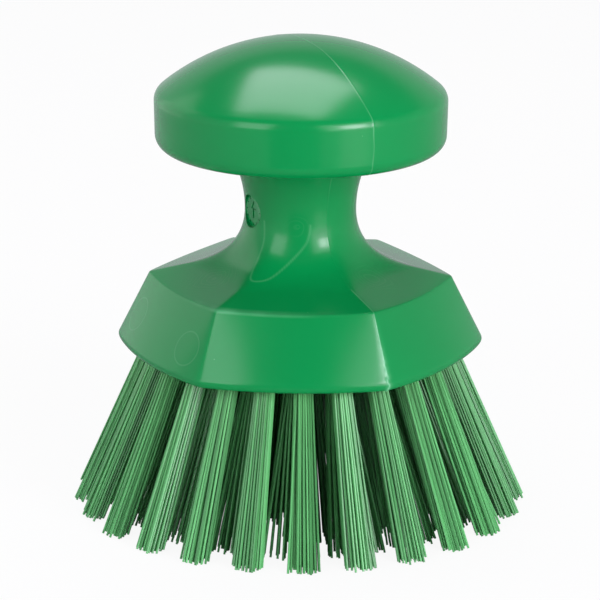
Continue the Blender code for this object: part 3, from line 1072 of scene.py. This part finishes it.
def whorl(nodes, place, warp, centre, reach):
    """Faint arcs round a point of the skin, where the plastic's flow turned as it set."""
    away = nodes.vector("Value", "DISTANCE", place, centre)
    bent = nodes.compute("MULTIPLY_ADD", warp, WHORL_WARP, away)
    wave = nodes.compute("COSINE", nodes.compute("MULTIPLY", bent, math.tau / WHORL_PITCH))
    inside = nodes.ramp(away, reach, WHORL_CORE_SHARE * reach)
    return nodes.compute("MULTIPLY", nodes.ramp(wave, low=0.4, high=1.0), inside)


def all_whorls(nodes, form, place):
    """The whorls of the neck and the shoulder."""
    warp = nodes.grain(place, scale=120, detail=1.0)
    return nodes.strongest(*[
        whorl(nodes, place, warp, neck_point(form, math.radians(turn), height * MM), reach * MM)
        for turn, height, reach in WHORLS
    ])


def specks(nodes, place):
    """Small dots in a few of many cells."""
    cells = nodes.new("ShaderNodeTexVoronoi", {"Vector": place, "Scale": 330}).outputs
    chosen = nodes.add("ShaderNodeSeparateColor", 0, {"Color": cells["Color"]})
    dot = nodes.ramp(cells["Distance"], low=0.06, high=0.02)
    return nodes.compute("MULTIPLY", dot, nodes.ramp(chosen, low=0.9, high=0.96))


def drag_lines(nodes, place):
    """Fine upright streaks, from the mould's polish."""
    tall = nodes.vector("Vector", "MULTIPLY", place, DRAG_STRETCH)
    return nodes.grain(tall, scale=620)


# How pale each mark is in the block's plastic, and how high it stands as a share of the skin's waves
PALE_SHARES = {"whorls": 0.04, "specks": 0.5, "circles": 0.16}
RELIEF_SHARES = {"circles": 0.12, "whorls": 0.04, "drag lines": 0.06}
WAVE_RELIEF = 0.06 * MM
DRAG_STRETCH = (1.0, 1.0, 0.09)
DEEP_PLASTIC_SHARE = 0.93

# Filaments: shares of the fibre's colour in the darkest and the lightest, and how much of a tone
# is a filament's own
DARK_SHARE = 0.58
LIGHT_SHARE = 1.4
LIGHT_LIFT = 0.03
OWN_TONE_SHARE = 0.75


def block_plastic(form):
    """Satin plastic: slow waves in the skin, whorls, specks, fine drag lines, insert circles, and a
    paler colour for the flow line and flash and for painted highlights.
    """
    material, nodes, shader = new_material("block_plastic")
    place = nodes.add("ShaderNodeTexCoord", "Object")
    cloud = nodes.grain(place, scale=28, distortion=0.6)
    marks = {
        "circles": insert_circles(nodes, form, place),
        "whorls": all_whorls(nodes, form, place),
        "specks": specks(nodes, place),
        "drag lines": drag_lines(nodes, place),
    }
    paler = [nodes.compute("MULTIPLY", marks[mark], shown) for mark, shown in PALE_SHARES.items()]
    # Paleness from the flow line and flash, and painted highlights along the parting line and the
    # head's upper edge
    line = nodes.add("ShaderNodeAttribute", "Fac", attribute_name="stress_and_highlight")
    deep = opaque([channel * DEEP_PLASTIC_SHARE for channel in form.plastic])
    body = nodes.blend(cloud, deep, opaque(form.plastic))
    relief = nodes.grain(place, scale=55, detail=1.0)
    for mark, height in RELIEF_SHARES.items():
        relief = nodes.compute("MULTIPLY_ADD", marks[mark], height, relief)
    nodes.feed(shader, {
        "Base Color": nodes.blend(nodes.strongest(line, *paler), body, opaque(form.whitened_and_highlit)),
        "Roughness": nodes.spread(cloud, form.roughness, span=0.06),
        "IOR": 1.49,
        "Normal": nodes.add("ShaderNodeBump", "Normal", {"Height": relief, "Distance": WAVE_RELIEF}),
    })
    return material


def filament_plastic(tufts):
    """Slightly glossy filament, a little lighter or darker from one to the next."""
    material, nodes, shader = new_material("filament_plastic")
    place = nodes.add("ShaderNodeTexCoord", "Object")
    tone = nodes.add("ShaderNodeAttribute", "Fac", attribute_name="tone")
    cloud = nodes.compute("MULTIPLY", nodes.grain(place, scale=90), 1 - OWN_TONE_SHARE)
    mixed = nodes.compute("MULTIPLY_ADD", tone, OWN_TONE_SHARE, cloud)
    dark = opaque([channel * DARK_SHARE for channel in tufts.fibre])
    light = opaque([min(1.0, channel * LIGHT_SHARE + LIGHT_LIFT) for channel in tufts.fibre])
    nodes.feed(shader, {
        "Base Color": nodes.blend(mixed, dark, light),
        "Roughness": nodes.spread(tone, tufts.roughness, span=0.1),
        "IOR": 1.5,
    })
    return material


# Stage

# Camera's sensor in millimetres, and the nearest and farthest that it sees in metres
SENSOR_WIDTH = 36
CLIP_START = 0.01
CLIP_END = 20


def heading(azimuth, elevation):
    """Unit vector away from the brush. Azimuth 0 is the front and turns towards +X."""
    level = math.cos(elevation)
    return Vector((math.sin(azimuth) * level, -math.cos(azimuth) * level, math.sin(elevation)))


def facing(away, roll):
    """Turn of a lamp or a camera that stands this way from the brush and looks back at it."""
    return (away.to_track_quat("Z", "Y").to_matrix() @ Matrix.Rotation(roll, 3, "Z")).to_euler()


def room_brightness(nodes, stage, direction):
    """Brightness of the room below the lamps, which leans from one side to the other."""
    lean = nodes.vector("Value", "DOT_PRODUCT", direction, stage.room_lean)
    return nodes.compute("ADD", lean, stage.room_glow)


def floor_brightness(nodes, stage):
    """Brightness of the floor in reflections: the room's far out, and dimmer near the brush."""
    place = nodes.add("ShaderNodeNewGeometry", "Position")
    distance = nodes.vector("Value", "LENGTH", place)
    reach = {"Value": distance, "From Max": stage.floor_reach, "To Min": stage.floor_glow}
    rise = nodes.add("ShaderNodeMapRange", 0, reach)
    direction = nodes.vector("Vector", "NORMALIZE", place)
    return nodes.compute("MULTIPLY", rise, room_brightness(nodes, stage, direction))


def white_for_viewers(nodes, stage, lit):
    """Mix the floor's lit shader with a glow where camera, glossy and transmission rays meet it.

    The camera sees white through most of the floor, and the rest keeps the shadow.
    """
    seen = nodes.new("ShaderNodeLightPath").outputs
    glossy = seen["Is Glossy Ray"]
    glow = {"Factor": glossy, "A": 1.0, "B": floor_brightness(nodes, stage)}
    strength = nodes.add("ShaderNodeMix", "Result", glow)
    tint = nodes.blend(glossy, WHITE, opaque(stage.lamp_colour))
    shine = nodes.add("ShaderNodeEmission", 0, {"Color": tint, "Strength": strength})
    camera = nodes.compute("MULTIPLY", seen["Is Camera Ray"], stage.floor_whiteness)
    glowing = nodes.strongest(camera, glossy, seen["Is Transmission Ray"])
    return nodes.add("ShaderNodeMixShader", 0, {0: glowing, 1: lit, 2: shine})


def floor_material(stage):
    """Pale and lit by the lamps, and white for viewers."""
    material = bpy.data.materials.new("stage_floor")
    material.use_nodes = True
    material.node_tree.nodes.clear()
    nodes = Nodes(material.node_tree)
    lit = nodes.add("ShaderNodeBsdfDiffuse", 0, {"Color": opaque(stage.floor)})
    nodes.new("ShaderNodeOutputMaterial", {"Surface": white_for_viewers(nodes, stage, lit)})
    return material


def stand_sheet(name, corners, material):
    """A flat four-sided piece of the stage."""
    mesh = bpy.data.meshes.new(name)
    mesh.from_pydata(corners, [], [(0, 1, 2, 3)])
    mesh.materials.append(material)
    sheet = put_in_scene(name, mesh)
    return sheet


def lay_floor(stage):
    """A wide pale floor that the camera sees as white, with a faint shadow."""
    half = stage.floor_width / 2
    corners = [(-half, -half, 0), (half, -half, 0), (half, half, 0), (-half, half, 0)]
    floor = stand_sheet("stage_floor", corners, floor_material(stage))
    floor.location.z = -stage.floor_gap


def glow_room(stage):
    """World: a pale room up to the lamps, darker above them, white to the camera."""
    world = bpy.data.worlds.new("stage_room")
    bpy.context.scene.world = world
    world.use_nodes = True
    world.node_tree.nodes.clear()
    nodes = Nodes(world.node_tree)
    direction = nodes.add("ShaderNodeTexCoord", "Generated")
    fade = {
        "Value": nodes.add("ShaderNodeSeparateXYZ", "Z", {0: direction}),
        "From Min": math.sin(stage.fade_start),
        "From Max": math.sin(stage.fade_end),
        "To Min": room_brightness(nodes, stage, direction),
        "To Max": stage.ceiling_glow,
    }
    strength = nodes.add("ShaderNodeMapRange", 0, fade, interpolation_type="SMOOTHSTEP")
    glow = {"Color": opaque(stage.lamp_colour), "Strength": strength}
    room = nodes.add("ShaderNodeBackground", 0, glow)
    white = nodes.add("ShaderNodeBackground", 0, {"Color": WHITE})
    seen = nodes.new("ShaderNodeLightPath").outputs
    viewed = nodes.strongest(seen["Is Camera Ray"], seen["Is Transmission Ray"])
    mix = nodes.add("ShaderNodeMixShader", 0, {0: viewed, 1: room, 2: white})
    nodes.new("ShaderNodeOutputWorld", {"Surface": mix})


# Soft lamps, as (name, azimuth, elevation, roll, width share, height share, brightness, mirrored)
LAMPS = (
    ("overhead_softbox", -168.0, 72.5, -30.0, 0.62, 0.58, 4.8, True),
    ("left_softbox", -31.0, 27.0, 0.0, 0.6, 0.7, 2.45, True),
    ("right_softbox", 42.0, 20.0, 0.0, 0.75, 0.9, 1.85, True),
    ("right_core", 44.0, 18.0, 0.0, 0.34, 0.55, 9.8, True),
    ("left_fill", -95.0, 30.0, 0.0, 0.9, 0.9, 0.65, False),
)

# Cards on the floor, as (name, azimuth, distance, width, height, brightness), lengths in millimetres
CARDS = (
    ("front_black_card", -2.0, 190.0, 125.0, 250.0, 0.0),
    ("front_right_card", 42.0, 190.0, 75.0, 110.0, 1.0),
    ("left_wall_card", -118.0, 500.0, 360.0, 540.0, 1.0),
)


def hang_lamps(stage):
    """Soft lamps that the camera doesn't see, some of which stay out of reflections too."""
    for name, azimuth, elevation, roll, width, height, brightness, mirrored in LAMPS:
        data = bpy.data.lights.new(name, "AREA")
        data.shape = "RECTANGLE"
        data.size = width * stage.lamp_distance
        data.size_y = height * stage.lamp_distance
        data.energy = brightness * math.pi * data.size * data.size_y
        data.color = stage.lamp_colour
        lamp = put_in_scene(name, data)
        away = heading(math.radians(azimuth), math.radians(elevation))
        lamp.location = away * stage.lamp_distance
        lamp.rotation_euler = facing(away, math.radians(roll))
        lamp.visible_camera = False
        lamp.visible_glossy = mirrored


def card_material(name, brightness):
    """Black that glows with an even white."""
    material, nodes, shader = new_material(name)
    nodes.feed(shader, {
        "Base Color": BLACK,
        "Specular IOR Level": 0.0,
        "Roughness": 1.0,
        "Emission Color": WHITE,
        "Emission Strength": brightness,
    })
    return material


def stand_cards():
    """Upright cards that only reflections see."""
    for name, azimuth, distance, width, height, brightness in CARDS:
        away = heading(math.radians(azimuth), 0)
        beside = Vector((0, 0, 1)).cross(away) * (width * MM / 2)
        foot = away * (distance * MM)
        top = foot + Vector((0, 0, height * MM))
        corners = [foot - beside, foot + beside, top + beside, top - beside]
        card = stand_sheet(name, corners, card_material(name, brightness))
        card.visible_camera = False
        card.visible_diffuse = False
        card.visible_shadow = False
        card.visible_transmission = False


def set_camera(stage):
    """Camera of the product picture, aimed at the brush's axis."""
    data = bpy.data.cameras.new("product_camera")
    data.sensor_width = SENSOR_WIDTH
    data.lens = stage.lens
    data.clip_start = CLIP_START
    data.clip_end = CLIP_END
    camera = put_in_scene("product_camera", data)
    camera.location = heading(stage.camera_azimuth, 0) * stage.camera_distance
    camera.location.z = stage.camera_height
    aim = Vector((0, 0, stage.aim_height))
    camera.rotation_euler = facing(camera.location - aim, stage.camera_roll)
    bpy.context.scene.camera = camera


# Operators

class SCRUBBRUSH_OT_mould_block(bpy.types.Operator):
    """Mould the block with its drilled underside, its parting line and its date dial"""

    bl_idname = "scrub_brush.mould_block"
    bl_label = "Mould Block"

    def execute(self, context):
        form = context.scene.scrub_brush_block
        block = put_in_scene("block_moulding", loft_block(form, context.scene.scrub_brush_tufts))
        press_dial(block, form)
        stress_skin(block)
        finish_mesh(block.data, block_plastic(form))
        flatten_underside(block.data)
        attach(block, BODY)
        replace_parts(block, "brush_block")
        return {"FINISHED"}


class SCRUBBRUSH_OT_set_tufts(bpy.types.Operator):
    """Set one tuft of folded filaments in every hole"""

    bl_idname = "scrub_brush.set_tufts"
    bl_label = "Set Tufts"

    def execute(self, context):
        form = context.scene.scrub_brush_block
        tufts = context.scene.scrub_brush_tufts
        material = filament_plastic(tufts)
        draw = random.Random(tufts.seed)
        for ring, ring_name in enumerate(TUFT_RING_NAMES):
            places = list(ring_places(form, tufts, ring))
            if len(places) != len(TUFT_NODES[ring]):
                raise RuntimeError(f"the {ring_name} ring's tufts don't match its nodes")
            for index, (node, matrix) in enumerate(zip(TUFT_NODES[ring], places)):
                name = f"filaments_{ring_name}_{index + 1:02d}"
                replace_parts(make_tuft(name, tufts, ring, matrix, draw, material), node)
        return {"FINISHED"}


class SCRUBBRUSH_OT_light_stage(bpy.types.Operator):
    """Lay the pale floor, hang the soft lamps and set the camera"""

    bl_idname = "scrub_brush.light_stage"
    bl_label = "Light Stage"

    def execute(self, context):
        stage = context.scene.scrub_brush_stage
        context.scene.view_settings.view_transform = "Standard"
        lay_floor(stage)
        glow_room(stage)
        hang_lamps(stage)
        stand_cards()
        set_camera(stage)
        return {"FINISHED"}


class SCRUBBRUSH_PT_panel(bpy.types.Panel):
    """Steps and sizes of the scrub brush"""

    bl_idname = "SCRUBBRUSH_PT_panel"
    bl_label = "Scrub Brush"
    bl_space_type = "VIEW_3D"
    bl_region_type = "UI"
    bl_category = "Scrub Brush"

    def draw(self, context):
        steps = (
            (SCRUBBRUSH_OT_mould_block, context.scene.scrub_brush_block),
            (SCRUBBRUSH_OT_set_tufts, context.scene.scrub_brush_tufts),
            (SCRUBBRUSH_OT_light_stage, context.scene.scrub_brush_stage),
        )
        for step, settings in steps:
            box = self.layout.box()
            box.operator(step.bl_idname)
            for setting in settings.__annotations__:
                box.prop(settings, setting)


CLASSES = (
    SCRUBBRUSH_PG_block,
    SCRUBBRUSH_PG_tufts,
    SCRUBBRUSH_PG_stage,
    SCRUBBRUSH_OT_mould_block,
    SCRUBBRUSH_OT_set_tufts,
    SCRUBBRUSH_OT_light_stage,
    SCRUBBRUSH_PT_panel,
)


def register():
    for cls in CLASSES:
        bpy.utils.register_class(cls)
    bpy.types.Scene.scrub_brush_block = PointerProperty(type=SCRUBBRUSH_PG_block)
    bpy.types.Scene.scrub_brush_tufts = PointerProperty(type=SCRUBBRUSH_PG_tufts)
    bpy.types.Scene.scrub_brush_stage = PointerProperty(type=SCRUBBRUSH_PG_stage)


def unregister():
    del bpy.types.Scene.scrub_brush_stage
    del bpy.types.Scene.scrub_brush_tufts
    del bpy.types.Scene.scrub_brush_block
    for cls in reversed(CLASSES):
        bpy.utils.unregister_class(cls)


def main():
    register()
    bpy.ops.scrub_brush.light_stage()
    bpy.ops.scrub_brush.mould_block()
    bpy.ops.scrub_brush.set_tufts()


if __name__ == "__main__":
    main()
